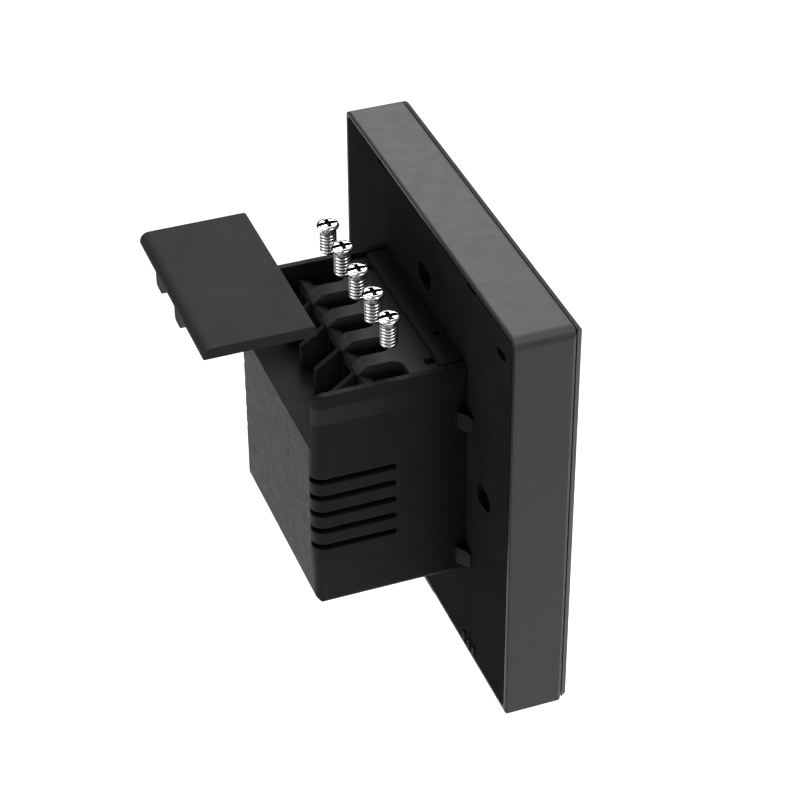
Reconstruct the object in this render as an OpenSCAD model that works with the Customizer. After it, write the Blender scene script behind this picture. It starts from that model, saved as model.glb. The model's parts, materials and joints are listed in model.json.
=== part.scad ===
// Smart wall touch panel: a glass-fronted control panel that pulls off its wall plate, with a
// terminal housing behind the plate, five clamp screws and a lift-off terminal cover.
// +Z is up, the glass faces -Y, the wall side faces +Y. The origin is the centre of the panel
// on the wall plane. The cover and the screws are drawn taken off, above and behind their seats.

/* [Panel] */
// Width and height of the square panel
panel_w = 86; // [84:0.5:92]
// Depth of the panel from the glass to the wall plane
panel_d = 12.75; // [11.75:0.25:16]
// Radius of the panel's upper corners
panel_r = 2.2; // [0.4:0.1:3]
// Radius of the panel's lower corners
panel_foot_r = 0.3; // [0.1:0.1:3]
// Depth of the bevel round the panel's front
edge_d = 1.85; // [1.3:0.05:2.3]
// Width of that bevel, seen from the front
edge_w = 0.9; // [0.5:0.1:1.2]
// Thickness of the frame wall
frame_wall = 1.8; // [1.6:0.1:2.2]
// Width of the ledge that the glass is bonded to
ledge_w = 3.3; // [2.6:0.1:4]
// Thickness of that ledge
ledge_t = 1.5; // [1:0.1:2]
// Width of the frame rim that shows round the wall plate
rim_w = 1.1; // [0.8:0.1:1.4]
// Chamfer on the outer rear edge of the frame
rim_chamfer = 0.35; // [0.1:0.05:0.6]
// Width of the prying tab at the bottom edge
pry_w = 9; // [6:0.5:14]
// How far the prying tab stands out
pry_h = 0.8; // [0.4:0.1:1.5]

/* [Glass and display] */
// Thickness of the cover glass
glass_t = 1; // [0.7:0.1:1.3]
// Thickness of the touch sensor film
film_t = 0.4; // [0.2:0.05:0.6]
// Thickness of the display module
display_t = 2.6; // [2:0.1:3]
// Free width on each side of the display module
display_side = 1.4; // [0.4:0.1:4]
// Thickness of the chassis plate behind the display
chassis_t = 1.2; // [0.8:0.1:1.4]

/* [Wall plate] */
// Thickness of the wall plate
plate_t = 1.6; // [1.4:0.1:2]
// Gap between the wall plate and the frame rim
plate_gap = 0.2; // [0.15:0.05:0.4]
// Distance between opposite mounting slots
slot_spacing = 60.3; // [58:0.1:64]
// Length of a mounting slot, end to end
slot_l = 6.5; // [5:0.1:8]
// Width of a mounting slot
slot_w = 4.2; // [3.6:0.1:4.6]
// Distance of the latches from the middle of the plate
latch_x = 23; // [16:1:34]
// Width of a latch
latch_w = 7; // [5:0.5:10]
// Height of a latch in front of the plate
latch_h = 3.2; // [2.4:0.1:4]

/* [Housing] */
// Outer width of the terminal housing
housing_w = 43.7; // [42.9:0.1:46]
// Height of the housing above the panel centre
housing_top = 24.3; // [23.8:0.1:26]
// Depth of the housing below the panel centre
housing_bottom = 23.8; // [23:0.1:27]
// How far the housing stands out behind the wall plane
housing_d = 29.9; // [28.5:0.1:36]
// Wall thickness of the housing
housing_wall = 1.45; // [1.2:0.05:1.6]
// Radius of the lower corners seen from behind
housing_r = 1.5; // [1:0.1:5]
// Radius of the rear edges
housing_edge_r = 2.5; // [1.8:0.1:2.7]
// Height of the terminal shelf above the panel centre
shelf_z = 12.45; // [11.6:0.05:12.6]
// Number of vent slots on each side
vent_count = 5; // [2:1:5]
// Pitch of the vent slots
vent_pitch = 3.8; // [3:0.1:4.2]
// Height of a vent slot
vent_h = 1.2; // [0.8:0.1:1.8]
// Height of the top vent slot's upper edge
vent_top = 5.8; // [4:0.1:8]
// Where the vent slots begin, measured from the wall plane
vent_y = 13.8; // [8:0.1:20]
// How far the vent slots wrap onto the rear face
vent_wrap = 2.4; // [1.6:0.1:4]

/* [Terminals] */
// Number of terminals
term_count = 5; // [2:1:5]
// Distance from the outer face of the housing to the first terminal's cell
term_margin = 1.225; // [1.2:0.005:1.6]
// Height of the terminal deck above the panel centre
deck_z = 23.1; // [22.7:0.05:23.1]
// Thickness of the deck
deck_t = 3.3; // [2.8:0.1:3.3]
// Gap between a screw head and the sides of its slot
head_gap = 0.25; // [0.15:0.05:0.4]
// Where the screw slots begin, measured from the wall plane
slot_y = 10; // [9:0.1:10.2]
// Distance of the screw axes from the wall plane
screw_y = 13.1; // [12.8:0.1:13.4]
// Thickness of the partitions between wires
fin_t = 1.2; // [0.8:0.1:1.6]
// Outer face of the window wall, measured from the wall plane
window_y = 17.9; // [17.2:0.1:18.6]
// Rear edge of the partitions, measured from the wall plane
fin_y = 23.3; // [21:0.1:26]
// How far a wire window is wider than the wire hole, on each side
window_lead = 0.55; // [0.3:0.05:0.6]
// Height of a wire window
window_h = 5.5; // [5.2:0.1:5.8]
// Gap between a terminal clamp and the partitions
clamp_gap = 0.425; // [0.3:0.005:0.6]
// Depth of a terminal clamp along the wire
clamp_d = 4.8; // [4.4:0.1:5]
// Height of a terminal clamp
clamp_h = 7; // [6.6:0.1:7]
// Wall of a clamp beside the wire hole
clamp_wall = 0.65; // [0.6:0.05:0.85]

/* [Screws] */
// Diameter of the screw head
head_d = 4.35; // [4:0.05:4.5]
// Height of the screw head
head_h = 1.6; // [1.2:0.1:1.8]
// Outer diameter of the thread
thread_d = 3.3; // [2.9:0.1:3.4]
// Length of the threaded shank
shank_l = 4.8; // [3.6:0.05:5]
// Width of the driver slot
drive_w = 0.8; // [0.5:0.05:1]
// Depth of the driver slot
drive_h = 0.9; // [0.5:0.05:1]
// Height of the lower end of a screw that is taken out
screw_lift_z = 28.6; // [28.3:0.05:34]

/* [Cover] */
// Depth of the cover from front to back
cover_d = 20.65; // [19.4:0.05:20.7]
// Thickness of the cover plate
cover_t = 1.05; // [0.8:0.05:1.05]
// Height of the cover's edges
cover_edge_h = 2.2; // [1.8:0.1:2.3]
// Gap between the cover and the housing walls
cover_gap = 0.25; // [0.15:0.05:0.35]
// Thickness of the cover's side skirts
skirt_t = 1.15; // [0.8:0.05:1.2]
// Width of a rear tab
tab_w = 7.6; // [6:0.1:9]
// Distance of the rear tabs from the middle
tab_x = 5.9; // [5:0.1:10]
// Depth of the rear tabs below the top of the cover
tab_h = 5; // [3.5:0.1:5.6]
// How far the cover is drawn back from its seat
cover_back = 18.6; // [18:0.1:30]
// How far the cover is raised from its seat
cover_up = 14.3; // [14:0.1:22]

/* [Electronics] */
// Thickness of the circuit boards
board_t = 1.2; // [1:0.1:1.6]
// Free width between the main board and the frame, on each side
board_room = 15.2; // [14:0.2:18]
// Free height between the main board and the wall plate
main_board_gap = 2.6; // [2.2:0.1:3]
// Height of the pillars that carry the power board
pillar_h = 4; // [3:0.1:5]
// Height of that shield
shield_h = 1.8; // [1.2:0.1:2.2]
// Length of the radio module's board
radio_l = 17; // [14:0.5:18]
// Width of the loudspeaker
speaker_w = 11; // [9:0.5:12]
// Length of the loudspeaker
speaker_l = 15; // [12:0.5:20]
// Height of the loudspeaker
speaker_h = 3.2; // [2.4:0.1:3.6]
// Length of a relay
relay_l = 18; // [16:0.1:18.4]
// Height of a relay
relay_h = 15; // [12:0.1:18]
// Side gap between neighbouring relays
relay_gap = 0.4; // [0.2:0.1:0.6]
// Width of the transformer's core
core_w = 13; // [10:0.5:14]
// Length of the transformer's core
core_l = 11; // [9:0.5:14]
// Thickness of the transformer's core
core_t = 6.8; // [5:0.1:7.4]
// Diameter of the fuse
fuse_d = 7.8; // [6:0.1:8.5]
// Height of the fuse above its foot
fuse_h = 7; // [5:0.5:9]
// Diameter of the filter capacitor
capacitor_d = 7.6; // [6:0.1:7.6]
// Length of the filter capacitor
capacitor_l = 16; // [10:0.5:19]
// Number of pins in each row of the board connector
pin_count = 6; // [4:1:8]
// Pitch of the connector pins
pin_pitch = 2.54; // [2:0.01:2.6]
// Side of a square connector pin
pin_w = 0.64; // [0.5:0.01:0.7]

/* [Hidden] */
$fn = 48;
// Overshoot of a cutter past the face that it opens
cut = 1;
// Smallest radius of a rounded corner
min_r = 0.4;
// Clearance between pieces of one body that slip together
fit = 0.1;

// Panel stack, from the glass backwards
glass_y = -panel_d + glass_t;
film_y = glass_y + film_t;
display_y = film_y + display_t;
chassis_y = display_y + chassis_t;
ledge_y = glass_y + ledge_t;
opening_w = panel_w - 2 * ledge_w;
display_w = opening_w - 2 * display_side;
inner_w = panel_w - 2 * frame_wall;
rebate_w = panel_w - 2 * rim_w;
plate_w = rebate_w - 2 * plate_gap;
display_gap = 0.2;
main_board_w = inner_w - 2 * board_room;
board_corner = main_board_w / 2 - 3.5;
shield_w = 0.365 * main_board_w;
radio_w = 0.254 * main_board_w;
board_y = -plate_t - main_board_gap;
board_front_y = board_y - board_t;
screw_top_d = 4;

// Latches between the wall plate and the frame
latch_gap = 0.25;
latch_z = inner_w / 2 - latch_gap;
latch_bump = 0.1;
latch_bump_w = 0.6;
latch_leaf_t = 1;

// Housing and its two compartments
half_w = housing_w / 2;
bay_x = half_w - housing_wall;
bay_bottom = -housing_bottom + housing_wall;
bay_top = shelf_z - housing_wall;
shelf_y = housing_d - housing_wall;
upper_clip_z = 13;
lower_clip_z = -18.8;

// Terminal block
block_gap = 0.15;
block_x = bay_x - block_gap;
deck_x = bay_x - cover_gap - skirt_t - block_gap;
deck_under = deck_z - deck_t;
term_pitch = (housing_w - 2 * term_margin) / term_count;
screw_slot_w = head_d + 2 * head_gap;
screw_slot_r = screw_slot_w / 2;
bar_w = term_pitch - screw_slot_w;
clamp_w = term_pitch - fin_t - 2 * clamp_gap;
wire_hole = clamp_w - 2 * clamp_wall;
window_w = wire_hole + 2 * window_lead;
wall_front_y = screw_y + clamp_d / 2 + fit;
chamber_wall = 1.4;
lip_drop = 1.7;
lip_rise = 1.2;
lip_z = deck_z - lip_drop;
fin_low_z = 17.5;
window_low = shelf_z + 0.6;
front_block_d = 4.3;
front_block_gap = 0.5;

// Screws and cover
shank_r = thread_d / 2;
cover_w = 2 * (bay_x - cover_gap);
cover_front = housing_d - cover_d;

// Power board and its connector
power_y = pillar_h;
power_rear = pillar_h + board_t;
power_gap = 0.8;
pillar_d = 4.8;
transformer_gap = 1.9;
transformer_foot = 1.4;
power_low = bay_bottom + pillar_d / 2 + 0.9;
power_right = bay_x - pillar_d / 2 - 0.9;
core_gap = 1.5;
power_middle = -bay_x + transformer_gap + core_w + core_gap + pillar_d / 2;
relay_w = (2 * bay_x - 3 * power_gap - 2 * relay_gap - capacitor_d) / 3;
connector_x = 0;
connector_z = -11;
socket_w = pin_count * pin_pitch;
socket_h = 2 * pin_pitch;
socket_t = 5;
socket_rear = board_y + socket_t;
socket_floor = 0.5;
pin_end_gap = 0.4;

function inner_r(depth) = max(min_r, panel_r - depth);
function term_x(i) = (i - (term_count - 1) / 2) * term_pitch;
function terminals() = [for (i = [0 : term_count - 1]) term_x(i)];
function partitions() = [for (i = [0 : term_count - 2]) term_x(i) + term_pitch / 2];

// Outlines

module rounded_rect(w, h, r) {
    square([w - 2 * r, h], center = true);
    square([w, h - 2 * r], center = true);
    for (sx = [-1, 1], sz = [-1, 1])
        translate([sx * (w / 2 - r), sz * (h / 2 - r)]) circle(r);
}

module obround(l, w) {
    square([l - w, w], center = true);
    for (s = [-1, 1]) translate([s * (l - w) / 2, 0]) circle(w / 2);
}

// Rectangle on the corner of the axes whose far outer corner is rounded
module round_end(w, d, r) {
    difference() {
        square([w, d]);
        difference() {
            translate([w - r, d - r]) square(r + cut);
            translate([w - r, d - r]) circle(r);
        }
    }
}

// Extrusion of an outline in x and z between two depths
module along_y(y0, y1) {
    translate([0, y1, 0]) rotate([90, 0, 0]) linear_extrude(y1 - y0) children();
}

// Extrusion of an outline in y and z between two sides
module along_x(x0, x1) {
    translate([x0, 0, 0]) rotate([90, 0, 90]) linear_extrude(x1 - x0) children();
}

module slab(w, h, r, y0, y1) {
    along_y(y0, y1) rounded_rect(w, h, r);
}

module block(x0, x1, y0, y1, z0, z1) {
    translate([x0, y0, z0]) cube([x1 - x0, y1 - y0, z1 - z0]);
}

// Rod along Y between two depths
module rod_y(r, y0, y1) {
    translate([0, y0, 0]) rotate([-90, 0, 0]) cylinder(r = r, h = y1 - y0);
}

// Panel envelope: a square with slightly rounded corners and a bevelled front
module panel_envelope() {
    intersection() {
        along_y(-panel_d, 0) panel_outline();
        front_bevels();
        rotate([0, 90, 0]) front_bevels();
    }
}

// Outline of the panel, with its own radii above and below
module panel_outline() {
    half = panel_w / 2;
    for (s = [0, 1]) mirror([s, 0]) {
        round_end(half, half, panel_r);
        mirror([0, 1]) round_end(half, half, panel_foot_r);
    }
}

// Prism along X whose two front edges are bevelled
module front_bevels() {
    half = panel_w / 2;
    along_x(-panel_w, panel_w) polygon([
        [0, -half], [edge_d - panel_d, -half], [-panel_d, edge_w - half],
        [-panel_d, half - edge_w], [edge_d - panel_d, half], [0, half]
    ]);
}

// Front unit

module front_glass() {
    color([0.05, 0.05, 0.06]) intersection() {
        panel_envelope();
        block(-panel_w, panel_w, -panel_d - cut, glass_y, -panel_w, panel_w);
    }
}

module touch_sensor() {
    color([0.25, 0.3, 0.28]) slab(opening_w - 2 * display_gap, opening_w - 2 * display_gap,
        min_r, glass_y, film_y);
}

module display_module() {
    color([0.5, 0.52, 0.55])
        slab(display_w, opening_w - 2 * display_gap, min_r, film_y, display_y);
}

module front_frame() {
    color([0.3, 0.3, 0.3]) difference() {
        intersection() {
            panel_envelope();
            block(-panel_w, panel_w, glass_y, cut, -panel_w, panel_w);
        }
        seam_groove();
        slab(opening_w, opening_w, min_r, glass_y - cut, cut);
        slab(inner_w, inner_w, inner_r(frame_wall), ledge_y, cut);
        slab(rebate_w, rebate_w, inner_r(rim_w), -plate_t - fit, cut);
        rim_chamfers();
    }
    color([0.3, 0.3, 0.3]) pry_tab();
    color([0.3, 0.3, 0.3]) latch_ridges();
}

// Fine groove in the frame just behind the edge of the glass
module seam_groove() {
    groove_w = 0.3;
    groove_d = 0.25;
    edge_inset = edge_w * max(0, 1 - glass_t / edge_d);
    floor_w = panel_w - 2 * (edge_inset + groove_d);
    difference() {
        slab(panel_w + cut, panel_w + cut, panel_r, glass_y - cut, glass_y + groove_w);
        slab(floor_w, floor_w, inner_r(groove_d), glass_y - 2 * cut, glass_y + 2 * groove_w);
    }
}

// Cutters that bevel the four outer rear edges of the frame
module rim_chamfers() {
    for (turn = [0 : 90 : 270]) rotate([0, turn, 0])
        along_x(-panel_w, panel_w) polygon([
            [-rim_chamfer, panel_w / 2 + cut],
            [-rim_chamfer, panel_w / 2],
            [0, panel_w / 2 - rim_chamfer],
            [cut, panel_w / 2 - rim_chamfer],
            [cut, panel_w / 2 + cut]
        ]);
}

module pry_tab() {
    pry_d = 1.4;
    block(-pry_w / 2, pry_w / 2, -rim_chamfer - pry_d, -rim_chamfer,
        -panel_w / 2 - pry_h, -panel_w / 2 + fit);
}

// Ridges inside the frame that the latches of the wall plate click over
module latch_ridges() {
    for (sx = [-1, 1], sz = [-1, 1])
        translate([sx * latch_x, 0, sz * inner_w / 2])
            block(-latch_w / 2, latch_w / 2, -plate_t - latch_h + latch_bump_w,
                -plate_t - latch_h + 2 * latch_bump_w, -latch_bump, latch_bump);
}

module panel_chassis() {
    outer_w = inner_w - 2 * fit;
    pillar_r = 2.6;
    color([0.62, 0.64, 0.66]) {
        difference() {
            slab(outer_w, outer_w, inner_r(frame_wall), ledge_y, chassis_y);
            slab(opening_w, opening_w, min_r, ledge_y - cut, display_y);
        }
        board_corners() rod_y(pillar_r, chassis_y, board_front_y);
    }
}

// The four fixing points of the main board
module board_corners() {
    for (sx = [-1, 1], sz = [-1, 1])
        translate([sx * board_corner, 0, sz * board_corner]) children();
}

module main_board() {
    hole_r = 1.2;
    corner_r = 2;
    color([0.1, 0.35, 0.2]) difference() {
        slab(main_board_w, main_board_w, corner_r, board_front_y, board_y);
        board_corners() rod_y(hole_r, board_front_y - cut, board_y + cut);
    }
}

module chassis_screws() {
    top_h = 1;
    stem_r = 1.1;
    color([0.7, 0.7, 0.7]) board_corners() {
        rod_y(screw_top_d / 2, board_y, board_y + top_h);
        rod_y(stem_r, board_front_y, board_y);
    }
}

module processor_shield() {
    low_z = -0.5;
    right = board_corner - screw_top_d / 2 - 1;
    color([0.75, 0.76, 0.78]) translate([shield_w / 2 - right, 0, shield_w / 2 + low_z])
        slab(shield_w, shield_w, 1, board_y, board_y + shield_h);
}

// Small radio board with a shielded can; its upper strip is the antenna
module wireless_module() {
    carrier_t = 0.6;
    can_h = 1.3;
    can_edge = 0.8;
    can_l = 0.7 * radio_l;
    right = board_corner - screw_top_d / 2 - 0.9;
    color([0.7, 0.71, 0.74]) translate([right - radio_w / 2, 0, right + 0.9 - radio_l / 2]) {
        slab(radio_w, radio_l, min_r, board_y, board_y + carrier_t);
        translate([0, 0, (can_l - radio_l) / 2 + can_edge])
            slab(radio_w - 2 * can_edge, can_l, 2 * min_r, board_y + carrier_t,
                board_y + carrier_t + can_h);
    }
}

// Flat loudspeaker: an open-backed box on the chassis
module speaker() {
    rim = 1.5;
    dish = 0.6;
    foot = 4.5;
    x = inner_w / 2 - board_room / 2;
    z = -inner_w / 2 + foot + speaker_l / 2;
    color([0.12, 0.12, 0.12]) translate([x, 0, z]) difference() {
        slab(speaker_w, speaker_l, rim, chassis_y, chassis_y + speaker_h);
        slab(speaker_w - 2 * rim, speaker_l - 2 * rim, rim - min_r,
            chassis_y + speaker_h - dish, chassis_y + speaker_h + cut);
    }
}

// Two-row board connector: places of the pins
module pin_places() {
    for (i = [0 : pin_count - 1], row = [-1, 1])
        translate([connector_x + (i - (pin_count - 1) / 2) * pin_pitch, 0,
            connector_z + row * pin_pitch / 2]) children();
}

module board_socket() {
    pin_clear = 0.2;
    side = pin_w + 2 * pin_clear;
    color([0.08, 0.08, 0.08]) difference() {
        translate([connector_x, 0, connector_z])
            block(-socket_w / 2, socket_w / 2, board_y, socket_rear,
                -socket_h / 2, socket_h / 2);
        pin_places() block(-side / 2, side / 2, board_y + socket_floor, socket_rear + cut,
            -side / 2, side / 2);
    }
}

module board_header() {
    insulator_t = 2.5;
    color([0.08, 0.08, 0.08]) translate([connector_x, 0, connector_z])
        block(-socket_w / 2, socket_w / 2, power_y - insulator_t, power_y,
            -socket_h / 2, socket_h / 2);
    color([0.8, 0.7, 0.4]) pin_places()
        block(-pin_w / 2, pin_w / 2, board_y + socket_floor + pin_end_gap,
            power_y - insulator_t + fit, -pin_w / 2, pin_w / 2);
}

// Wall unit

module wall_plate() {
    window_clear = 0.5;
    half = slot_spacing / 2;
    color([0.2, 0.2, 0.2]) {
        difference() {
            slab(plate_w, plate_w, inner_r(rim_w + plate_gap), -plate_t, 0);
            for (s = [-1, 1]) {
                translate([s * half, 0, 0]) along_y(-plate_t - cut, cut) obround(slot_l, slot_w);
                translate([0, 0, s * half]) along_y(-plate_t - cut, cut) obround(slot_l, slot_w);
            }
            translate([connector_x, 0, connector_z])
                block(-socket_w / 2 - window_clear, socket_w / 2 + window_clear,
                    -plate_t - cut, cut,
                    -socket_h / 2 - window_clear, socket_h / 2 + window_clear);
            plate_openings();
        }
        plate_latches();
        locating_rim();
        power_pillars();
        plate_ribs();
    }
}

// Small openings of the plate: a notch beside each latch and one slot near a corner
module plate_openings() {
    notch_w = 3.8;
    notch_low = latch_z + latch_bump + 0.1;
    corner_inset = [4.7, 5];
    corner_slot = [4, 1.6];
    for (sx = [-1, 1], sz = [0, 1]) mirror([0, 0, sz]) translate([sx * latch_x, 0, 0])
        block(-notch_w / 2, notch_w / 2, -plate_t - cut, cut, notch_low, panel_w / 2);
    translate([corner_inset.x - plate_w / 2, 0, plate_w / 2 - corner_inset.y])
        along_y(-plate_t - cut, cut) obround(corner_slot.x, corner_slot.y);
}

// Latches that hold the front unit: a leaf and a small bump on each
module plate_latches() {
    for (sx = [-1, 1], sz = [-1, 1])
        translate([sx * latch_x, 0, 0]) mirror([0, 0, sz < 0 ? 1 : 0]) {
            block(-latch_w / 2, latch_w / 2, -plate_t - latch_h, -plate_t,
                latch_z - latch_leaf_t, latch_z);
            block(-latch_w / 2, latch_w / 2, -plate_t - latch_h,
                -plate_t - latch_h + latch_bump_w, latch_z - latch_leaf_t, latch_z + latch_bump);
        }
}

// Low rim that the housing slips over
module locating_rim() {
    rim_t = 1.2;
    rim_h = 2;
    rim_r = max(rim_t + min_r, housing_r - housing_wall);
    w = 2 * (bay_x - block_gap);
    h = bay_top - bay_bottom - 2 * block_gap;
    translate([0, 0, (bay_top + bay_bottom) / 2]) difference() {
        slab(w, h, rim_r, -fit, rim_h);
        slab(w - 2 * rim_t, h - 2 * rim_t, rim_r - rim_t, -cut, rim_h + cut);
    }
}

// The fixing points of the power board
module power_corners() {
    row_gap = 16.2;
    high = power_low + row_gap;
    for (at = [[power_right, power_low], [power_middle, power_low], [power_right, high]])
        translate([at.x, 0, at.y]) children();
}

module power_pillars() {
    pilot_r = 0.9;
    pilot_h = 3;
    power_corners() difference() {
        rod_y(pillar_d / 2, -fit, pillar_h);
        rod_y(pilot_r, pillar_h - pilot_h, pillar_h + cut);
    }
}

// Three small ribs by a lower latch notch
module plate_ribs() {
    rib = [0.8, 0.5, 1.8];
    rib_pitch = 2.4;
    edge_gap = 2;
    for (i = [-1 : 1])
        translate([-latch_x - 2 + i * rib_pitch, 0, -plate_w / 2 + edge_gap])
            block(-rib.x / 2, rib.x / 2, -fit, rib.y, -rib.z / 2, rib.z / 2);
}

// Tub shape: rounded lower corners and rounded rear edges
module tub(w, bottom, top, depth, r, edge) {
    intersection() {
        along_y(0, depth) translate([0, top]) for (s = [0, 1]) mirror([s, 0]) mirror([0, 1])
            round_end(w / 2, top - bottom, r);
        translate([0, 0, bottom]) linear_extrude(top - bottom)
            for (s = [0, 1]) mirror([s, 0]) round_end(w / 2, depth, edge);
        along_x(-w / 2, w / 2) translate([0, top]) mirror([0, 1]) rotate(90) mirror([0, 1])
            round_end(top - bottom, depth, edge);
    }
}

module rear_housing() {
    color([0.16, 0.16, 0.17]) {
        difference() {
            tub(housing_w, -housing_bottom, housing_top, housing_d, housing_r, housing_edge_r);
            translate([0, -cut, 0]) tub(2 * bay_x, bay_bottom, bay_top, shelf_y + cut,
                max(min_r, housing_r - housing_wall), housing_edge_r - housing_wall);
            block(-bay_x, bay_x, -cut, housing_d + cut, shelf_z, housing_top + cut);
            wall_corner_cut();
            for (side = [-1, 1], i = [0 : vent_count - 1])
                mirror([side < 0 ? 1 : 0, 0, 0]) vent(vent_top - vent_h / 2 - i * vent_pitch);
        }
        for (side = [0, 1]) mirror([side, 0, 0]) {
            clip(upper_clip_z);
            clip(lower_clip_z);
        }
    }
}

// Rounds the upper rear corner of the side walls
module wall_corner_cut() {
    r = housing_edge_r;
    along_x(-housing_w, housing_w) difference() {
        translate([housing_d - r, housing_top - r]) square(r + cut);
        translate([housing_d - r, housing_top - r]) circle(r);
    }
}

// One vent slot, cut through the side wall and round the rear corner
module vent(z) {
    block(half_w - vent_wrap, half_w + cut, vent_y + vent_h / 2, housing_d + cut,
        z - vent_h / 2, z + vent_h / 2);
    translate([half_w - vent_wrap, vent_y + vent_h / 2, z]) rotate([0, 90, 0])
        cylinder(d = vent_h, h = vent_wrap + cut);
}

// Catch at the foot of a side wall, where the housing hooks into the plate
module clip(z) {
    clip_h = 3.8;
    clip_y = 2.15;
    clip_x = 3.4;
    toe = 0.3;
    step = 0.7;
    bevel = 0.6;
    translate([half_w, 0, z]) intersection() {
        translate([0, 0, -clip_h / 2]) linear_extrude(clip_h) polygon([
            [-fit, 0], [clip_x, 0], [clip_x, toe], [step, clip_y], [-fit, clip_y]
        ]);
        along_y(-cut, clip_y + cut) polygon([
            [-fit, -clip_h / 2 + bevel], [bevel, -clip_h / 2], [clip_x - bevel, -clip_h / 2],
            [clip_x, -clip_h / 2 + bevel], [clip_x, clip_h / 2 - bevel],
            [clip_x - bevel, clip_h / 2], [bevel, clip_h / 2], [-fit, clip_h / 2 - bevel]
        ]);
    }
}

// Terminals

// Chambers for the clamps, with a wire window to each and partitions between the wires
module terminal_base() {
    color([0.2, 0.2, 0.2]) {
        block(-block_x, block_x, screw_y - clamp_d / 2 - fit - chamber_wall,
            screw_y - clamp_d / 2 - fit, shelf_z, deck_under);
        difference() {
            along_x(-block_x, block_x) polygon([
                [wall_front_y, shelf_z], [window_y, shelf_z],
                [window_y, lip_z], [wall_front_y, lip_z - lip_rise]
            ]);
            for (x = terminals()) block(x - window_w / 2, x + window_w / 2,
                wall_front_y - cut, window_y + cut,
                window_low, window_low + window_h);
        }
        for (x = partitions()) along_x(x - fin_t / 2, x + fin_t / 2) fin_outline();
    }
}

// Side view of a partition: a straight foot, a sloped top and a rounded rear corner
module fin_outline() {
    corner_r = 0.8;
    corner_drop = 0.3;
    front = screw_y - clamp_d / 2 - fit - cut / 2;
    difference() {
        polygon([
            [front, shelf_z], [fin_y, shelf_z], [fin_y, fin_low_z], [window_y, lip_z],
            [wall_front_y, deck_under], [front, deck_under]
        ]);
        translate([fin_y - corner_r, fin_low_z - corner_drop]) difference() {
            square(corner_r * 2);
            circle(corner_r);
        }
    }
}

// Deck over the clamps: a plate with bars between the screw slots and a raised front wall
module terminal_deck() {
    notch = [1.8, 2, 1.5];
    mark_r = 0.7;
    mark_d = 1.2;
    mark_at = [-10.3, 1.5];
    color([0.22, 0.22, 0.22]) {
        difference() {
            union() {
                block(-block_x, block_x, 0, slot_y, deck_under, deck_z);
                block(-deck_x, deck_x, slot_y - cut, screw_y, deck_under, deck_z);
            }
            for (s = [-1, 1]) {
                mirror([s < 0 ? 1 : 0, 0, 0]) block(deck_x, block_x + cut,
                    cover_front - block_gap, slot_y + cut,
                    housing_top - cover_edge_h - block_gap, deck_z + cut);
                translate([s * term_x(term_count - 1), 0, 0])
                    block(-notch.x / 2, notch.x / 2, front_block_d, front_block_d + notch.y,
                        deck_z - notch.z, deck_z + cut);
            }
            for (x = terminals()) screw_slot(x);
        }
        difference() {
            block(-block_x + front_block_gap, block_x - front_block_gap, 0, front_block_d,
                shelf_z, housing_top);
            translate([mark_at.x, mark_at.y, housing_top - mark_d])
                cylinder(r = mark_r, h = mark_d + cut);
        }
        for (x = partitions()) along_x(x - bar_w / 2, x + bar_w / 2) bar_outline();
    }
}

// Cutter for one screw slot, open towards the rear; the outer ones also open to the side
module screw_slot(x) {
    outer = abs(x) > term_x(term_count - 1) - fit ? sign(x) : 0;
    translate([x, slot_y + screw_slot_r, deck_under - cut])
        cylinder(r = screw_slot_r, h = deck_t + 2 * cut);
    block(x - screw_slot_r, x + screw_slot_r, slot_y + screw_slot_r, window_y + cut,
        deck_under - cut, deck_z + cut);
    if (outer != 0) block(min(x, x + outer * term_pitch), max(x, x + outer * term_pitch),
        slot_y, window_y + cut, deck_under - cut, deck_z + cut);
}

// Side view of a bar behind the screw axes, ending in a ramp over its partition
module bar_outline() {
    ramp_y = window_y - 1.4;
    nose = 0.5;
    nose_h = 0.1;
    slope = (lip_z - fin_low_z) / (fin_y - window_y);
    polygon([
        [slot_y, deck_under], [wall_front_y, deck_under], [wall_front_y, lip_z - lip_rise],
        [window_y, lip_z], [window_y + nose, lip_z - nose * slope],
        [window_y + nose, lip_z + nose_h], [ramp_y, deck_z], [slot_y, deck_z]
    ]);
}

// Brass cage with a wire hole through it and a threaded bore in its roof
module terminal_clamp(x) {
    floor_t = 0.75;
    corner_r = 0.5;
    bore_r = shank_r + fit;
    color([0.75, 0.6, 0.3]) difference() {
        translate([x, screw_y, shelf_z]) linear_extrude(clamp_h)
            rounded_rect(clamp_w, clamp_d, corner_r);
        block(x - wire_hole / 2, x + wire_hole / 2, screw_y - clamp_d, screw_y + clamp_d,
            shelf_z + floor_t, shelf_z + floor_t + wire_hole);
        translate([x, screw_y, shelf_z + floor_t + wire_hole - cut])
            cylinder(r = bore_r, h = clamp_h);
    }
}

// Pan-head screw with a slot and a cross in its head
module terminal_screw(x) {
    head_r = head_d / 2;
    dome = 0.5;
    tip = 0.5;
    cross_l = 2 * head_r * 0.66;
    color([0.75, 0.76, 0.78]) translate([x, screw_y, screw_lift_z]) difference() {
        rotate_extrude() union() {
            square([shank_r - tip, shank_l]);
            translate([0, tip]) square([shank_r, shank_l - tip]);
            polygon([[0, 0], [shank_r - tip, 0], [shank_r, tip], [0, tip]]);
            translate([0, shank_l]) round_end(head_r, head_h, dome);
        }
        translate([-drive_w / 2, -head_r - cut, shank_l + head_h - drive_h])
            cube([drive_w, head_d + 2 * cut, drive_h + cut]);
        translate([-cross_l / 2, -drive_w / 2, shank_l + head_h - drive_h])
            cube([cross_l, drive_w, drive_h + cut]);
    }
}

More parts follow.
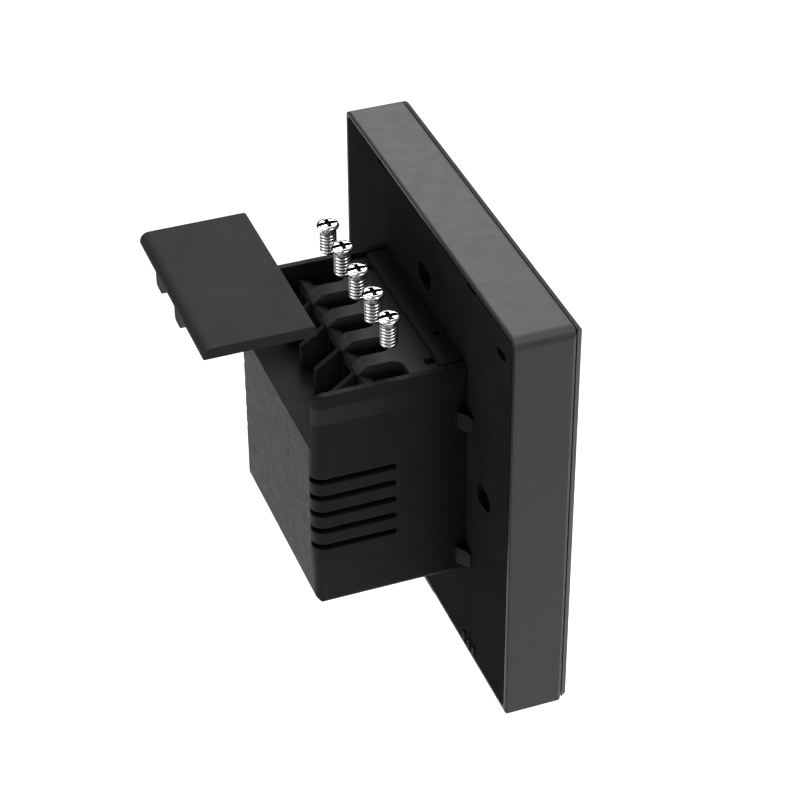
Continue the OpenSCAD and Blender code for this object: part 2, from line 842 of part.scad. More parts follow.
// Cover plate with side skirts and a rear lip that ends in two rounded tabs
module terminal_cover() {
    rear_r = 1.8;
    lip_t = 1.2;
    chamfer = 0.4;
    top = housing_top;
    low = housing_top - cover_edge_h;
    color([0.25, 0.25, 0.25]) translate([0, cover_back, cover_up]) intersection() {
        union() {
            block(-cover_w / 2, cover_w / 2, cover_front, housing_d, top - cover_t, top);
            for (s = [0, 1]) mirror([s, 0, 0]) block(cover_w / 2 - skirt_t, cover_w / 2,
                cover_front, housing_d, low, top);
            block(-cover_w / 2, cover_w / 2, housing_d - lip_t, housing_d, low, top);
            for (s = [-1, 1]) translate([s * tab_x, 0, top])
                along_y(housing_d - lip_t, housing_d) tab_outline();
        }
        along_x(-cover_w, cover_w) difference() {
            translate([cover_front, top - tab_h]) square([cover_d, tab_h]);
            translate([housing_d - rear_r, top - rear_r]) difference() {
                square(rear_r + cut);
                circle(rear_r);
            }
            polygon([
                [cover_front - cut, top - chamfer], [cover_front, top - chamfer],
                [cover_front + chamfer, top], [cover_front + chamfer, top + cut],
                [cover_front - cut, top + cut]
            ]);
        }
    }
}

// Rear tab seen from behind: one steep side and one sloping side, with a rounded foot
module tab_outline() {
    foot_r = 1;
    flank = 3.4;
    polygon([
        [-tab_w / 2, 0], [tab_w / 2, 0], [tab_w / 2, foot_r - tab_h],
        [tab_w / 2 - foot_r, -tab_h], [flank - tab_w / 2 + foot_r, -tab_h],
        [-tab_w / 2, foot_r + flank - tab_h]
    ]);
    translate([tab_w / 2 - foot_r, foot_r - tab_h]) circle(foot_r);
}

// Power unit inside the housing

module power_board() {
    edge_gap = 0.5;
    corner_r = 1.5;
    hole_r = 1;
    color([0.55, 0.4, 0.15]) difference() {
        translate([0, 0, (bay_top + bay_bottom) / 2])
            slab(2 * (bay_x - edge_gap), bay_top - bay_bottom - 2 * edge_gap, corner_r,
                power_y, power_rear);
        power_corners() rod_y(hole_r, power_y - cut, power_rear + cut);
    }
}

module power_board_screws() {
    top_r = 1.9;
    top_h = 1.1;
    stem_r = 0.8;
    stem_l = 3.6;
    color([0.7, 0.7, 0.7]) power_corners() {
        rod_y(top_r, power_rear, power_rear + top_h);
        rod_y(stem_r, power_rear - stem_l, power_rear);
    }
}

// Sealed relay: a case with a stepped foot and a vent pip on top
module relay(index) {
    foot = 0.5;
    pip_r = 0.8;
    pip_h = 0.4;
    x = -bay_x + power_gap + relay_w / 2 + index * (relay_w + relay_gap);
    color([0.12, 0.25, 0.5]) translate([x, 0, bay_top - power_gap - relay_l / 2]) {
        slab(relay_w, relay_l, min_r, power_rear + foot, power_rear + relay_h);
        slab(relay_w - 2 * foot, relay_l - 2 * foot, min_r, power_rear, power_rear + foot);
        translate([relay_w / 4, 0, relay_l / 3])
            rod_y(pip_r, power_rear + relay_h - fit, power_rear + relay_h + pip_h);
    }
}

// Small switching transformer: a core of two E halves round a wound bobbin
module transformer() {
    leg_t = 1.8;
    coil_r = core_t / 2 + 0.8;
    foot_h = 2;
    half_t = core_t / 2 + transformer_foot;
    x = -bay_x + transformer_gap + core_w / 2;
    z = bay_bottom + transformer_gap + half_t;
    color([0.2, 0.2, 0.2]) translate([x, 0, z]) {
        translate([0, power_rear + foot_h + core_l / 2, 0]) {
            difference() {
                cube([core_w, core_l, core_t], center = true);
                cube([core_w - 2 * leg_t, core_l - 2 * leg_t, 2 * core_t], center = true);
            }
            rotate([90, 0, 0])
                cylinder(r = coil_r, h = core_l - 2 * leg_t + 2 * fit, center = true);
        }
        block(-core_w / 2, core_w / 2, power_rear, power_rear + foot_h + fit, -half_t, half_t);
    }
}

// Electrolytic capacitor: a can with a crimped neck near its board end
module filter_capacitor() {
    r = capacitor_d / 2;
    neck_r = 0.35;
    neck_h = 2;
    top_r = 0.6;
    color([0.15, 0.2, 0.4])
        translate([bay_x - power_gap - r, power_rear, bay_top - power_gap - r])
            rotate([-90, 0, 0]) rotate_extrude() difference() {
                round_end(r, capacitor_l, top_r);
                translate([r, neck_h]) circle(neck_r);
            }
}

// Potted fuse: a round case on a narrower foot
module fuse() {
    foot_r = fuse_d / 3;
    foot_h = 1;
    top_r = 0.5;
    x = (power_middle + power_right) / 2;
    z = bay_bottom + transformer_gap + fuse_d / 2;
    color([0.3, 0.16, 0.1]) translate([x, power_rear, z]) rotate([-90, 0, 0])
        rotate_extrude() {
            square([foot_r, foot_h]);
            translate([0, foot_h]) round_end(fuse_d / 2, fuse_h, top_r);
        }
}

front_glass();
touch_sensor();
display_module();
front_frame();
panel_chassis();
main_board();
processor_shield();
wireless_module();
board_socket();
speaker();
chassis_screws();
wall_plate();
rear_housing();
terminal_base();
terminal_deck();
for (i = [0 : term_count - 1]) {
    terminal_clamp(term_x(i));
    terminal_screw(term_x(i));
}
terminal_cover();
power_board();
power_board_screws();
for (i = [0 : 2]) {
    relay(i);
}
transformer();
filter_capacitor();
fuse();
board_header();
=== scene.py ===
"""Looks of the smart wall touch panel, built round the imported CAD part."""
import json
import math

import bmesh
import bpy
from mathutils import Matrix, Vector


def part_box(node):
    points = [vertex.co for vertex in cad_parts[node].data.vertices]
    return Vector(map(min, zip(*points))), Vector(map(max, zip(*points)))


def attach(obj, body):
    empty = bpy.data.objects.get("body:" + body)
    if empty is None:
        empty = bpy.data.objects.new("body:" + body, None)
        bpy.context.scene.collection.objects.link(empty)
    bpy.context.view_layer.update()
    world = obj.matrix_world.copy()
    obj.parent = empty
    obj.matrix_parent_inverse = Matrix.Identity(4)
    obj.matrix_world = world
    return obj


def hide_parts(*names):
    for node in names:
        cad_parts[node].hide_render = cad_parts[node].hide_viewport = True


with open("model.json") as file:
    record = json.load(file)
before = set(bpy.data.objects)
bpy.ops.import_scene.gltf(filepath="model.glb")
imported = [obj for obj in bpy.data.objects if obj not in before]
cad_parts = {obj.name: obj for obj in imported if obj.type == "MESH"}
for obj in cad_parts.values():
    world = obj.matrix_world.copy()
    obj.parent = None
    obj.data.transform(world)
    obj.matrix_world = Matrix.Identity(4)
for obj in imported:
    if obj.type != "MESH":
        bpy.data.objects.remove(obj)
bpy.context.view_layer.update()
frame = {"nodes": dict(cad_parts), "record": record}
nodes = frame["nodes"]
MM = 0.001


# Camera, at the photograph's viewing angle

AZIMUTH = math.radians(249.67)
ELEVATION = math.radians(36.22)
ROLL = math.radians(-0.35)
FOCAL_PX = 2480.4
IMAGE_PX = 800
SENSOR_MM = 36
CAMERA_AT_MM = (-4.66, 1.3, 477.5)
CLIP_START = 0.01
CLIP_END = 20


def add_camera():
    """CAMERA_AT_MM counts along the camera's own right, up and back directions."""
    back = Vector((math.sin(AZIMUTH) * math.cos(ELEVATION),
                   -math.cos(AZIMUTH) * math.cos(ELEVATION),
                   math.sin(ELEVATION)))
    side = Vector((0, 0, 1)).cross(back).normalized()
    up = back.cross(side)
    right = side * math.cos(ROLL) + up * math.sin(ROLL)
    top = up * math.cos(ROLL) - side * math.sin(ROLL)
    x, y, z = CAMERA_AT_MM
    at = (right * x + top * y + back * z) * MM
    data = bpy.data.cameras.new("camera")
    data.sensor_width = SENSOR_MM
    data.lens = FOCAL_PX / IMAGE_PX * SENSOR_MM
    data.clip_start = CLIP_START
    data.clip_end = CLIP_END
    camera = bpy.data.objects.new("camera", data)
    bpy.context.scene.collection.objects.link(camera)
    turn = Matrix((right, top, back)).transposed().to_4x4()
    camera.matrix_world = Matrix.Translation(at) @ turn
    bpy.context.scene.camera = camera


add_camera()
bpy.context.scene.view_settings.view_transform = "Standard"
bpy.context.scene.view_settings.look = "None"


# Material nodes

# Stretch of a noise texture that is spread over the whole range of a value
NOISE_LOW = 0.3
NOISE_HIGH = 0.7


class Tree:
    """A material's nodes, with short calls for what the materials here share."""

    def __init__(self, name):
        self.material = bpy.data.materials.new(name)
        self.material.use_nodes = True
        self.tree = self.material.node_tree
        self.shader = self.tree.nodes["Principled BSDF"]
        self.place = self.tree.nodes.new("ShaderNodeTexCoord").outputs["Object"]

    def link(self, a, b):
        self.tree.links.new(a, b)

    def noise(self, size_mm, detail=2.0, rough=0.5, stretch=(1, 1, 1), offset=0.0):
        mapping = self.tree.nodes.new("ShaderNodeMapping")
        mapping.inputs["Location"].default_value = (offset, offset, offset)
        mapping.inputs["Scale"].default_value = stretch
        self.link(self.place, mapping.inputs["Vector"])
        node = self.tree.nodes.new("ShaderNodeTexNoise")
        node.inputs["Scale"].default_value = 1 / (size_mm * MM)
        node.inputs["Detail"].default_value = detail
        node.inputs["Roughness"].default_value = rough
        self.link(mapping.outputs["Vector"], node.inputs["Vector"])
        return node.outputs["Fac"]

    def along(self, axis, start_mm, end_mm):
        """0 to 1 between two places along an axis of the part's frame."""
        split = self.tree.nodes.new("ShaderNodeSeparateXYZ")
        self.link(self.place, split.inputs["Vector"])
        return self.ranged(split.outputs[axis], 0, 1, start_mm * MM, end_mm * MM)

    def radius(self, start_mm, end_mm):
        """0 to 1 between two distances from the piece's own vertical axis."""
        flat = self.tree.nodes.new("ShaderNodeVectorMath")
        flat.operation = "MULTIPLY"
        flat.inputs[1].default_value = (1, 1, 0)
        self.link(self.place, flat.inputs[0])
        length = self.tree.nodes.new("ShaderNodeVectorMath")
        length.operation = "LENGTH"
        self.link(flat.outputs["Vector"], length.inputs[0])
        return self.ranged(length.outputs["Value"], 0, 1, start_mm * MM, end_mm * MM)

    def ranged(self, value, low, high, start=NOISE_LOW, end=NOISE_HIGH):
        """A value's stretch from start to end, turned into low to high."""
        node = self.tree.nodes.new("ShaderNodeMapRange")
        for key, number in (("From Min", start), ("From Max", end),
                            ("To Min", low), ("To Max", high)):
            node.inputs[key].default_value = number
        self.link(value, node.inputs["Value"])
        return node.outputs["Result"]

    def mix(self, factor, a, b):
        """Colour a at factor 0 and b at 1; each is a colour or another node's output."""
        node = self.tree.nodes.new("ShaderNodeMix")
        node.data_type = "RGBA"
        for socket, value in (("A", a), ("B", b)):
            target = [s for s in node.inputs if s.name == socket and s.type == "RGBA"][0]
            if isinstance(value, bpy.types.NodeSocket):
                self.link(value, target)
            else:
                target.default_value = (*value, 1)
        self.link(factor, node.inputs["Factor"])
        return [s for s in node.outputs if s.type == "RGBA"][0]

    def bump(self, height, strength, distance_mm, normal=None):
        node = self.tree.nodes.new("ShaderNodeBump")
        node.inputs["Strength"].default_value = strength
        node.inputs["Distance"].default_value = distance_mm * MM
        self.link(height, node.inputs["Height"])
        if normal is not None:
            self.link(normal, node.inputs["Normal"])
        self.link(node.outputs["Normal"], self.shader.inputs["Normal"])
        return node.outputs["Normal"]

    def colour(self, output):
        self.link(output, self.shader.inputs["Base Color"])

    def roughness(self, output):
        self.link(output, self.shader.inputs["Roughness"])

    def set(self, **values):
        for key, value in values.items():
            socket = self.shader.inputs[key.replace("_", " ")]
            socket.default_value = (*value, 1) if isinstance(value, tuple) else value


def scaled(shade, scale):
    return tuple(c * scale for c in shade)


# Kinds of material

def moulded(name, shade, rough, grain_mm=0.28, grain=0.22, spread=0.12, specular=0.5,
            painted_shades=(), reliefs=()):
    """Moulded plastic: an eroded grain, slow changes of shade and slight rub marks.

    Painted light and shade come as a list of (axis, start, end, scale): towards start, in
    millimetres along the axis, the colour goes to that share of the shade. reliefs lists
    (axis, start, end, depth): as a bump, the surface rises by that many millimetres on a
    slope from start to end.
    """
    cloud_mm = 9
    rub_mm = 2.2
    rub_spread = 0.06
    grain_depth_mm = 0.05
    t = Tree(name)
    cloud = t.noise(cloud_mm, detail=3)
    colour = t.mix(t.ranged(cloud, 0, 1), scaled(shade, 1 - spread), scaled(shade, 1 + spread))
    # painted light and shade: the colour darkened or lightened along an axis
    for axis, start, end, scale in painted_shades:
        colour = t.mix(t.along(axis, start, end), scaled(shade, scale), colour)
    t.colour(colour)
    rub = t.noise(rub_mm, detail=4, rough=0.65, stretch=(1, 0.6, 1.6), offset=3.0)
    t.roughness(t.ranged(rub, rough - rub_spread, rough + rub_spread))
    fine = t.noise(grain_mm, detail=3, rough=0.6)
    normal = t.bump(fine, grain, grain_depth_mm)
    for axis, start, end, depth in reliefs:
        normal = t.bump(t.along(axis, start, end), 1, depth, normal)
    t.set(Specular_IOR_Level=specular)
    return t.material


def metal(name, shade, rough, stretch=(1, 1, 1), painted_root_shade=None):
    """Metal with fine machining marks and a little unevenness in its shine.

    Painted shade in a thread's root comes as (r0, r1, scale): nearer the piece's own axis
    than r0 millimetres the colour falls to that share of the shade, and beyond r1 it is whole.
    """
    cloud_mm = 3
    cloud_spread = 0.06
    marks_mm = 0.9
    marks_spread = 0.3
    marks_strength = 0.08
    marks_depth_mm = 0.02
    t = Tree(name)
    cloud = t.noise(cloud_mm, detail=3, offset=1.0)
    colour = t.mix(t.ranged(cloud, 0, 1), scaled(shade, 1 - cloud_spread), shade)
    # painted shade in the thread's root, darker near the axis
    if painted_root_shade:
        start, end, scale = painted_root_shade
        colour = t.mix(t.radius(start, end), scaled(shade, scale), colour)
    t.colour(colour)
    marks = t.noise(marks_mm, detail=4, rough=0.6, stretch=stretch)
    t.roughness(t.ranged(marks, rough * (1 - marks_spread), rough * (1 + marks_spread)))
    t.bump(marks, marks_strength, marks_depth_mm)
    t.set(Metallic=1.0)
    return t.material


def board(name, shade, mask):
    """Circuit board: solder mask over tracks that show as faint raised runs."""
    track_mm = 1.3
    track_stretch = (1, 1, 3.2)
    track_edge = (0.47, 0.53)
    track_strength = 0.3
    track_depth_mm = 0.03
    cloud_mm = 5
    shine = (0.32, 0.46)
    t = Tree(name)
    fine = t.noise(track_mm, detail=1, stretch=track_stretch)
    runs = t.ranged(fine, 0, 1, *track_edge)
    t.colour(t.mix(runs, shade, mask))
    t.roughness(t.ranged(t.noise(cloud_mm), *shine))
    t.bump(runs, track_strength, track_depth_mm)
    return t.material


def film():
    """Touch sensor film, with slow changes of shade and shine."""
    cloud_mm = 4
    dark = (0.05, 0.06, 0.055)
    light = (0.07, 0.08, 0.075)
    shine_mm = 12
    shine = (0.12, 0.2)
    t = Tree("touch_film")
    t.colour(t.mix(t.ranged(t.noise(cloud_mm), 0, 1), dark, light))
    t.roughness(t.ranged(t.noise(shine_mm), *shine))
    return t.material


# Where the bevel of the front glass ends, and the depth over which its polish sets in
BEVEL_Y_MM = -12.7
BEVEL_EDGE_MM = 0.04


def glass():
    """Black printed cover glass: polished in front, with a ground bevel behind BEVEL_Y_MM."""
    cloud_mm = 30
    dark = (0.004, 0.004, 0.005)
    light = (0.006, 0.006, 0.007)
    polish_mm = 14
    polish_range = (0.03, 0.06)
    bevel_shade = (0.006, 0.006, 0.0062)
    bevel_rough = 0.5
    t = Tree("cover_glass")
    face = t.along("Y", BEVEL_Y_MM, BEVEL_Y_MM - BEVEL_EDGE_MM)
    tint = t.mix(t.ranged(t.noise(cloud_mm), 0, 1), dark, light)
    t.colour(t.mix(face, bevel_shade, tint))
    polish = t.ranged(t.noise(polish_mm, detail=3), *polish_range)
    rough = t.tree.nodes.new("ShaderNodeMix")
    rough.inputs["A"].default_value = bevel_rough
    t.link(polish, rough.inputs["B"])
    t.link(face, rough.inputs["Factor"])
    t.roughness(rough.outputs["Result"])
    t.set(IOR=1.5)
    return t.material


# Height of the terminal deck's upper face

DECK_Z_MM = 23.1


# Painted light and shade on the moulded pieces, as (axis, start, end, scale), in millimetres

# painted shade on the frame's rear rim face
FRAME_REAR_RIM_PAINTED_SHADE = ("Y", 0.0, -0.15, 0.3)
# painted light on the ribs that stand off the plate's rear face
PLATE_RIBS_PAINTED_LIGHT = ("Y", 0.45, 0.1, 3.0)
# painted shade on the housing towards its foot by the plate
HOUSING_FOOT_PAINTED_SHADE = ("Y", 2.2, 9.0, 0.65)
# painted shadow of the panel on the deck, darker towards the panel
DECK_PANEL_PAINTED_SHADOW = ("Y", 5.0, 17.0, 0.6)
# painted shade down the walls of the deck's slots, below its upper face
DECK_SIDES_PAINTED_SHADE = ("Z", DECK_Z_MM - 2.4, DECK_Z_MM - 0.6, 0.15)


# Slope near the top of the housing's walls, as (axis, start, end, depth), in millimetres

HOUSING_SLOPE = ("Z", 18.0, 21.6, 1.4)


# Materials by the slot that the record gives each node

SLOT_MATERIALS = {
    "frame_plastic": moulded("frame_plastic", (0.0385, 0.0385, 0.039), 0.46, spread=0.03,
                             grain=0.06, specular=0.22, painted_shades=[FRAME_REAR_RIM_PAINTED_SHADE]),
    "plate_plastic": moulded("plate_plastic", (0.0145, 0.0145, 0.0148), 0.8, specular=0.0,
                             painted_shades=[PLATE_RIBS_PAINTED_LIGHT]),
    "housing_plastic": moulded("housing_plastic", (0.0075, 0.0075, 0.0077), 0.5, grain=0.14,
                               specular=0.08, painted_shades=[HOUSING_FOOT_PAINTED_SHADE],
                               reliefs=[HOUSING_SLOPE]),
    "terminal_plastic": moulded("terminal_plastic", (0.016, 0.016, 0.0162), 0.7,
                                specular=0.0),
    "cover_plastic": moulded("cover_plastic", (0.0218, 0.0218, 0.022), 0.6, spread=0.05,
                             grain=0.1, specular=0.03),
    "black_plastic": moulded("black_plastic", (0.012, 0.012, 0.012), 0.45),
    "relay_plastic": moulded("relay_plastic", (0.016, 0.05, 0.14), 0.4),
    "fuse_plastic": moulded("fuse_plastic", (0.16, 0.05, 0.03), 0.4),
    "capacitor_sleeve": moulded("capacitor_sleeve", (0.02, 0.03, 0.09), 0.28, grain=0.05),
    "ferrite": moulded("ferrite", (0.035, 0.034, 0.033), 0.55, grain_mm=0.15, grain=0.4),
    "plated_steel": metal("plated_steel", (0.86, 0.85, 0.83), 0.16),
    # the brass is darkened as painted shade for the dark terminal chambers round the clamps
    "brass": metal("brass", (0.2, 0.15, 0.08), 0.45),
    "tin_shield": metal("tin_shield", (0.72, 0.72, 0.7), 0.32, stretch=(1, 1, 6)),
    "display_steel": metal("display_steel", (0.55, 0.56, 0.57), 0.38, stretch=(8, 1, 1)),
    "chassis_metal": metal("chassis_metal", (0.6, 0.61, 0.62), 0.36, stretch=(1, 1, 8)),
    "green_board": board("green_board", (0.012, 0.075, 0.03), (0.02, 0.11, 0.05)),
    "brown_board": board("brown_board", (0.34, 0.2, 0.07), (0.26, 0.14, 0.045)),
    "touch_film": film(),
    "cover_glass": glass(),
}


# Terminal screws, from their tips up, in millimetres

SCREW_COUNT = 5
SHANK_MM = 4.8
HEAD_MM = 1.6
THREAD_R = 1.65
THREAD_DEPTH = 0.34
PITCH_MM = 0.68

# Half a crest's foot as a share of the pitch, and the gain that cuts its top flat
CREST_HALF = 0.42
CREST_GAIN = 1.5

# The tip's chamfer, and the ends over which the thread starts and runs out under the head
TIP_CHAMFER = 0.25
RUN_IN = 0.5
RUN_OUT = 0.35
RUN_OUT_REST = 0.05

# Painted shade in the root between the crests, as metal() takes it
THREAD_ROOT_PAINTED_SHADE = (THREAD_R - 0.3, THREAD_R - 0.03, 0.05)

# Radius and height above its seat of the head, from its top to its neck
HEAD_PROFILE = [
    (0.0, 1.6), (0.9, 1.59), (1.55, 1.54), (1.9, 1.46), (2.08, 1.35), (2.16, 1.22),
    (2.175, 1.1), (2.14, 0.95), (2.0, 0.74), (1.82, 0.5), (1.68, 0.24), (1.6, 0.0), (1.5, -0.1),
]

# The driver's slot and cross, as boxes of X, Y and Z sizes centred on the head's top
DRIVER_CUTS = {
    "cut_slot": (0.74, 6, 1.5),
    "cut_cross": (2.9, 0.86, 1.9),
    "cut_cross_y": (0.98, 2.9, 2.2),
}
CUT_EDGE = 0.07
CUT_EDGE_ANGLE = math.radians(35)

# A face of the head lies in the recess below this height and this far under the uncut form
RECESS_TOP = 1.45
RECESS_MARGIN = 0.1

# Fineness of the screw's mesh
THREAD_SIDES = 40
THREAD_STEPS = 10
HEAD_SIDES = 64

# Places of the screw's materials in its mesh
HEAD_PLACE, THREAD_PLACE, RECESS_PLACE = range(3)
SCREW_MATERIALS = [
    metal("screw_head", (0.82, 0.82, 0.81), 0.14),
    metal("screw_thread", (0.8, 0.8, 0.79), 0.2, painted_root_shade=THREAD_ROOT_PAINTED_SHADE),
    # painted shade: a near-black copy of the screw metal for the faces inside the driver recess
    metal("screw_recess_painted_shade", (0.045, 0.045, 0.045), 0.45),
]


# The two terminal pieces in the housing, as lit and shaded copies of one plastic: painted light
# and shade, the deck lighter and the base darker

TERMINAL_LIT_AND_SHADED = {
    "terminal_base": moulded("terminal_base", (0.0155, 0.0155, 0.0157), 0.6, specular=0.02),
    "terminal_deck": moulded("terminal_deck", (0.047, 0.047, 0.0475), 0.7, specular=0.0,
                             painted_shades=[DECK_PANEL_PAINTED_SHADOW, DECK_SIDES_PAINTED_SHADE]),
}

slot_of = {s["node"]: s["material_slot"] for s in frame["record"]["subparts"]}

for node_name, node in nodes.items():
    material = TERMINAL_LIT_AND_SHADED.get(node_name, SLOT_MATERIALS[slot_of[node_name]])
    if not node.material_slots:
        node.data.materials.append(material)
    for material_slot in node.material_slots:
        material_slot.material = material


# Softened edges on the CAD pieces

SOFT_EDGES_MM = {
    "front_frame": 0.12,
    "rear_housing": 0.16,
    "terminal_cover": 0.16,
    "terminal_deck": 0.12,
    "terminal_base": 0.12,
}
WELD_DISTANCE = 1e-6
FLAT_ANGLE = math.radians(0.5)
SHARP_ANGLE = math.radians(40)


def soften(node, width_mm):
    weld = node.modifiers.new("weld", "WELD")
    weld.merge_threshold = WELD_DISTANCE
    flat = node.modifiers.new("flat", "DECIMATE")
    flat.decimate_type = "DISSOLVE"
    flat.angle_limit = FLAT_ANGLE
    bevel = node.modifiers.new("bevel", "BEVEL")
    bevel.limit_method = "ANGLE"
    bevel.angle_limit = SHARP_ANGLE
    bevel.width = width_mm * MM
    bevel.segments = 2
    bevel.use_clamp_overlap = False
    normals = node.modifiers.new("normals", "WEIGHTED_NORMAL")
    normals.keep_sharp = True


for node_name, width in SOFT_EDGES_MM.items():
    soften(nodes[node_name], width)


# Terminal screws with a rolled thread and a combination head

def ring_of(bm, radii, z):
    """Closed ring of vertices round Z, one for each radius."""
    verts = []
    for k, r in enumerate(radii):
        angle = 2 * math.pi * (k / len(radii))
        verts.append(bm.verts.new((r * math.cos(angle), r * math.sin(angle), z)))
    return verts


def thread_radius(z, turn):
    """Radius of the thread at a height and at a share of a full turn."""
    core = THREAD_R - THREAD_DEPTH
    fade = min(1.0, z / RUN_IN) * min(1.0, (SHANK_MM - z) / RUN_OUT + RUN_OUT_REST)
    phase = (z / PITCH_MM - turn) % 1.0
    crest = max(0.0, 1 - abs(phase - 0.5) / CREST_HALF)
    crest = min(1.0, crest * CREST_GAIN)
    return core + (THREAD_R - core) * crest * fade


def thread_mesh():
    """Shank with a helical thread, as rings round Z from the tip up, in millimetres."""
    rows = int(SHANK_MM / PITCH_MM * THREAD_STEPS)
    bm = bmesh.new()
    rings = []
    for row in range(rows + 1):
        z = SHANK_MM * row / rows
        chamfer = TIP_CHAMFER if row == 0 else 0
        radii = [thread_radius(z, k / THREAD_SIDES) - chamfer for k in range(THREAD_SIDES)]
        rings.append(ring_of(bm, radii, z))
    for low, high in zip(rings, rings[1:]):
        for k in range(THREAD_SIDES):
            after = (k + 1) % THREAD_SIDES
            bm.faces.new((low[k], low[after], high[after], high[k]))
    bm.faces.new(list(reversed(rings[0])))
    bm.faces.new(rings[-1])
    return bm


def head_mesh():
    """Uncut head, as rings round Z from the top down, in millimetres."""
    bm = bmesh.new()
    rings = [ring_of(bm, [r] * HEAD_SIDES, SHANK_MM + z) for r, z in HEAD_PROFILE[1:]]
    tip = bm.verts.new((0, 0, SHANK_MM + HEAD_PROFILE[0][1]))
    for k in range(HEAD_SIDES):
        bm.faces.new((tip, rings[0][k], rings[0][(k + 1) % HEAD_SIDES]))
    for high, low in zip(rings, rings[1:]):
        for k in range(HEAD_SIDES):
            after = (k + 1) % HEAD_SIDES
            bm.faces.new((high[k], low[k], low[after], high[after]))
    bm.faces.new(rings[-1][::-1])
    bmesh.ops.recalc_face_normals(bm, faces=bm.faces)
    return bm


def head_radius(z):
    """Radius of the uncut head at a height above its seat."""
    for (r0, z0), (r1, z1) in zip(HEAD_PROFILE, HEAD_PROFILE[1:]):
        if z1 <= z <= z0:
            return r1 + (r0 - r1) * (z - z1) / (z0 - z1)
    return 0.0


def in_recess(centre):
    z = centre.z - SHANK_MM
    inside = math.hypot(centre.x, centre.y) < head_radius(z) - RECESS_MARGIN
    return z < RECESS_TOP and inside


def shade_smooth(mesh):
    for face in mesh.polygons:
        face.use_smooth = True


def mesh_object(name, bm, smooth=True):
    mesh = bpy.data.meshes.new(name)
    bm.to_mesh(mesh)
    bm.free()
    if smooth:
        shade_smooth(mesh)
    piece = bpy.data.objects.new(name, mesh)
    bpy.context.scene.collection.objects.link(piece)
    return piece


def box_cutter(name, size, at):
    bm = bmesh.new()
    bmesh.ops.create_cube(bm, size=1)
    bmesh.ops.scale(bm, vec=size, verts=bm.verts)
    bmesh.ops.translate(bm, vec=at, verts=bm.verts)
    return mesh_object(name, bm, smooth=False)


def apply_modifiers(piece):
    depsgraph = bpy.context.evaluated_depsgraph_get()
    mesh = bpy.data.meshes.new_from_object(piece.evaluated_get(depsgraph))
    piece.modifiers.clear()
    piece.data = mesh


def cut_head():
    """The head with its driver recess, whose edges are eased."""
    head = mesh_object("screw_head", head_mesh())
    top = (0, 0, SHANK_MM + HEAD_MM)
    cutters = [box_cutter(name, size, top) for name, size in DRIVER_CUTS.items()]
    for cutter in cutters:
        cut = head.modifiers.new(cutter.name, "BOOLEAN")
        cut.operation = "DIFFERENCE"
        cut.object = cutter
        cut.solver = "EXACT"
    edge = head.modifiers.new("edge", "BEVEL")
    edge.limit_method = "ANGLE"
    edge.angle_limit = CUT_EDGE_ANGLE
    edge.width = CUT_EDGE
    edge.segments = 2
    apply_modifiers(head)
    for cutter in cutters:
        bpy.data.objects.remove(cutter)
    return head


def screw_mesh():
    """Head and shank in one mesh, in metres, with its materials."""
    head = cut_head()
    shank = mesh_object("screw_shank", thread_mesh())
    bm = bmesh.new()
    bm.from_mesh(head.data)
    for face in bm.faces:
        recessed = in_recess(face.calc_center_median())
        face.material_index = RECESS_PLACE if recessed else HEAD_PLACE
    head_faces = len(bm.faces)
    bm.from_mesh(shank.data)
    bm.faces.ensure_lookup_table()
    for face in bm.faces[head_faces:]:
        face.material_index = THREAD_PLACE
    bmesh.ops.scale(bm, vec=(MM, MM, MM), verts=bm.verts)
    mesh = bpy.data.meshes.new("terminal_screw")
    bm.to_mesh(mesh)
    bm.free()
    shade_smooth(mesh)
    for material in SCREW_MATERIALS:
        mesh.materials.append(material)
    for piece in (head, shank):
        bpy.data.objects.remove(piece)
    return mesh


screw = screw_mesh()
for number in range(1, SCREW_COUNT + 1):
    low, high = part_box(f"terminal_screw_{number}")
    piece = bpy.data.objects.new(f"threaded_screw_{number}", screw)
    bpy.context.scene.collection.objects.link(piece)
    piece.location = ((low.x + high.x) / 2, (low.y + high.y) / 2, low.z)
    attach(piece, f"screw_{number}")
    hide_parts(f"terminal_screw_{number}")


# Floor

FLOOR_Z = -0.42
FLOOR_HALF = 6


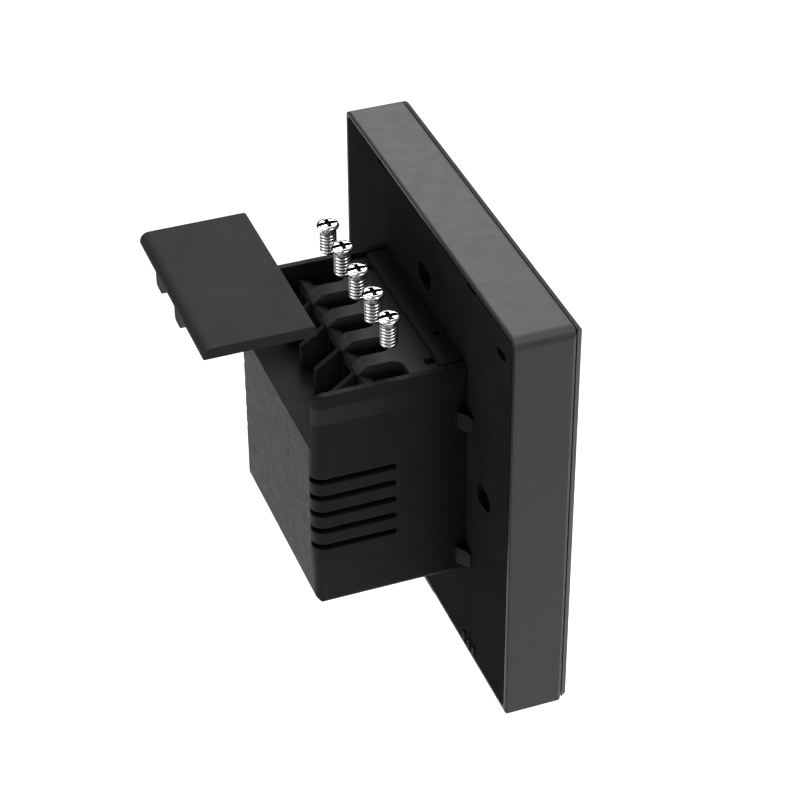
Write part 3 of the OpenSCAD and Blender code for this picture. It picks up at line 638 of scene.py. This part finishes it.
def add_floor():
    bm = bmesh.new()
    bmesh.ops.create_grid(bm, x_segments=1, y_segments=1, size=FLOOR_HALF)
    floor = mesh_object("floor", bm, smooth=False)
    floor.location.z = FLOOR_Z
    cloud_mm = 60
    dark = (0.92, 0.92, 0.92)
    light = (0.94, 0.94, 0.94)
    t = Tree("floor_paper")
    t.colour(t.mix(t.ranged(t.noise(cloud_mm), 0, 1), dark, light))
    t.set(Roughness=0.9)
    floor.data.materials.append(t.material)


# Light, placed round the part's origin in metres

WORLD_STRENGTH = 0.16
SUN_TOWARDS = (-0.42, 0.4, -0.8)
SUN_ANGLE = 35
SUN_STRENGTH = 3.9
CENTRE = (0, 0, 0)

# Soft boxes, as (name, place, target, size, watts, in matt shading, in reflections)
SOFT_BOXES = [
    ("key", (0.3, -0.27, 0.53), CENTRE, (0.4, 0.4), 3, True, False),
    ("head", (0.45, -0.17, 0.36), CENTRE, (0.24, 0.24), 0.9, False, True),
    ("glint", (0.19, 0.24, 0.55), (0, 0, 0.02), (0.45, 0.45), 3, False, True),
    ("edge", (-0.33, -0.16, 0.48), CENTRE, (0.25, 0.25), 1.35, True, True),
    ("rear", (0.05, 0.6, -0.02), CENTRE, (0.5, 0.4), 1.2, True, True),
    ("front", (0.05, -0.6, 0.0), CENTRE, (0.5, 0.4), 3, True, True),
]


def add_light(name, kind, towards):
    """Light whose beam points along towards; it is linked to the scene."""
    data = bpy.data.lights.new(name, kind)
    light = bpy.data.objects.new(name, data)
    light.rotation_euler = Vector(towards).to_track_quat("-Z", "Y").to_euler()
    bpy.context.scene.collection.objects.link(light)
    return light


def add_soft_box(name, at, target, size, watts, in_matt, in_reflections):
    light = add_light(name, "AREA", Vector(target) - Vector(at))
    light.location = at
    light.data.shape = "RECTANGLE"
    light.data.size, light.data.size_y = size
    light.data.energy = watts
    light.visible_diffuse = in_matt
    light.visible_glossy = in_reflections


def add_sun():
    """Broad light from above that is left out of reflections."""
    light = add_light("sky", "SUN", SUN_TOWARDS)
    light.data.angle = math.radians(SUN_ANGLE)
    light.data.energy = SUN_STRENGTH
    light.visible_glossy = False


def add_world():
    world = bpy.data.worlds.new("studio")
    world.use_nodes = True
    background = world.node_tree.nodes["Background"]
    background.inputs["Color"].default_value = (1, 1, 1, 1)
    background.inputs["Strength"].default_value = WORLD_STRENGTH
    bpy.context.scene.world = world


add_floor()
add_world()
add_sun()
for soft_box in SOFT_BOXES:
    add_soft_box(*soft_box)
